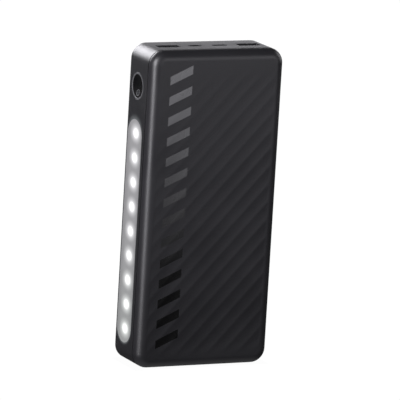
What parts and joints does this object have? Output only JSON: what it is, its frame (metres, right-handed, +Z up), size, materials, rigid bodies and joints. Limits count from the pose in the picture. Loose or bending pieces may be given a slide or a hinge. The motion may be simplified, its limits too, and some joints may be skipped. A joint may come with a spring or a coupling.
{
  "type": "power bank",
  "caption": "Upright power bank with a ribbed front, a long side work light, a round power button and charging sockets in its top end.",
  "frame": {"origin": "middle of the bottom end of the case", "axes": "+Z up with the case standing on its short end, ribbed front faces -Y, work light and power button face -X"},
  "size_m": [0.0812, 0.03, 0.18],
  "materials": {
    "black_plastic": "fine spark-eroded satin black",
    "shell_plastic": "satin dark grey",
    "label_film": "smooth matt film, blank",
    "frosted_lens": "frosted light-diffusing",
    "white_plastic": "matt reflective white",
    "led_package": "clear resin over yellow",
    "steel": "plain",
    "black_metal": "dark gloss",
    "gloss_black": "polished black",
    "clear_plastic": "clear",
    "board": "green solder mask",
    "white_board": "white solder mask",
    "ferrite": "dull dark grey",
    "can_aluminium": "bright can",
    "contact_gold": "gold plated",
    "cell_sleeve": "blue shrink sleeve",
    "red_wire": "red insulation",
    "black_wire": "black insulation",
    "white_wire": "white insulation",
    "card": "stiff insulating card",
    "foam": "closed-cell foam",
    "black_rubber": "matt black rubber"
  },
  "bodies": {
    "case": {"rear_shell": "shell_plastic", "front_cover": "black_plastic", "rating_label": "label_film", "case_screws": "steel", "screw_plugs": "black_rubber", "lamp_lens": "frosted_lens", "lamp_reflector": "white_plastic", "lamp_board": "white_board", "lamp_leds": "led_package", "lamp_backplate": "steel", "lamp_screws": "steel", "lamp_wires": "white_wire", "button_ring": "black_metal", "status_led": "led_package", "switch_body": "gloss_black", "main_board": "board", "board_screws": "steel", "inductors": "ferrite", "capacitors": "can_aluminium", "power_chips": "gloss_black", "usb_a_shells": "steel", "usb_a_tongues": "gloss_black", "usb_a_contacts": "contact_gold", "usb_c_shell": "steel", "usb_c_tongue": "gloss_black", "usb_c_contacts": "contact_gold", "micro_usb_shell": "steel", "micro_usb_tongue": "gloss_black", "micro_usb_contacts": "contact_gold", "battery_cells": "cell_sleeve", "cell_holder_left": "black_plastic", "cell_holder_right": "black_plastic", "positive_strip": "steel", "negative_strip": "steel", "battery_wire_red": "red_wire", "battery_wire_black": "black_wire", "thermistor": "black_rubber", "insulation_card": "card", "foam_pad_front": "foam", "foam_pad_back": "foam"},
    "button": {"power_button": "gloss_black", "button_light": "clear_plastic"},
    "plunger": {"switch_plunger": "white_plastic"}
  },
  "joints": [
    {"name": "button_press", "type": "slide", "parent": "case", "child": "button", "axis": [1, 0, 0], "range_m": [0, 0.0005], "stiffness_N_per_m": 1500},
    {"name": "switch_plunger_press", "type": "slide", "parent": "case", "child": "plunger", "axis": [1, 0, 0], "range_m": [0, 0.0005]}
  ],
  "couplings": [
    {"joint": "switch_plunger_press", "follows": "button_press", "ratio": 1}
  ]
}
